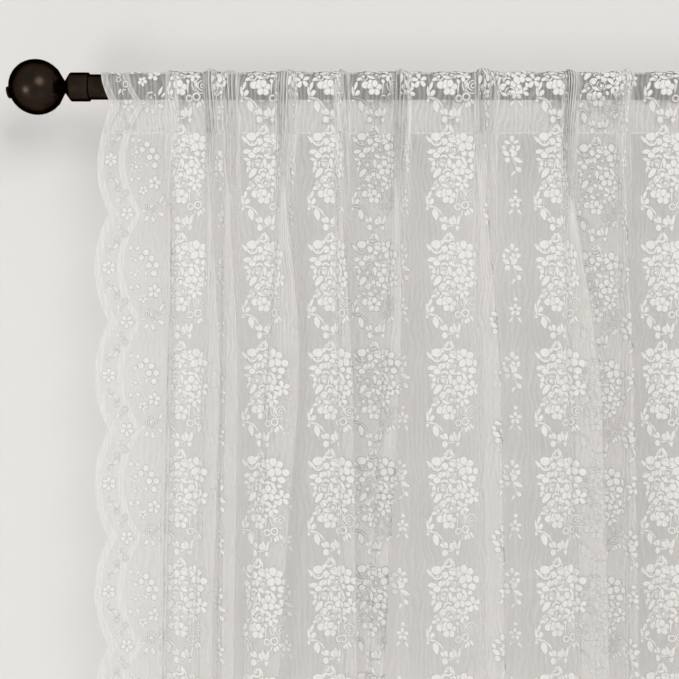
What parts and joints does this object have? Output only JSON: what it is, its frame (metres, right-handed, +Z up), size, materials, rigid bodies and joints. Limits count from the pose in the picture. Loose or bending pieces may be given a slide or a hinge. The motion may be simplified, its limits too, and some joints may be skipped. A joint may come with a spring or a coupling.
{
  "type": "lace valance on curtain rod",
  "caption": "Sheer ivory floral lace valance with scalloped side edges, gathered by its rod pocket on a dark bronze curtain rod with ball finials.",
  "frame": {"origin": "middle of the curtain rod, on its axis, where its brackets carry it", "axes": "+X along the rod to the right as seen from the room, +Y towards the window behind the cloth, +Z up; the front of the cloth faces -Y"},
  "size_m": [0.887, 0.0484, 0.6115],
  "materials": {
    "lace": "sheer ivory floral lace",
    "bronze": "satin dark bronze"
  },
  "bodies": {
    "root": {"valance_cloth": "lace", "rod_bar": "bronze", "finial_collar_left": "bronze", "finial_throat_left": "bronze", "finial_ball_left": "bronze", "finial_button_left": "bronze", "finial_collar_right": "bronze", "finial_throat_right": "bronze", "finial_ball_right": "bronze", "finial_button_right": "bronze"}
  },
  "joints": []
}
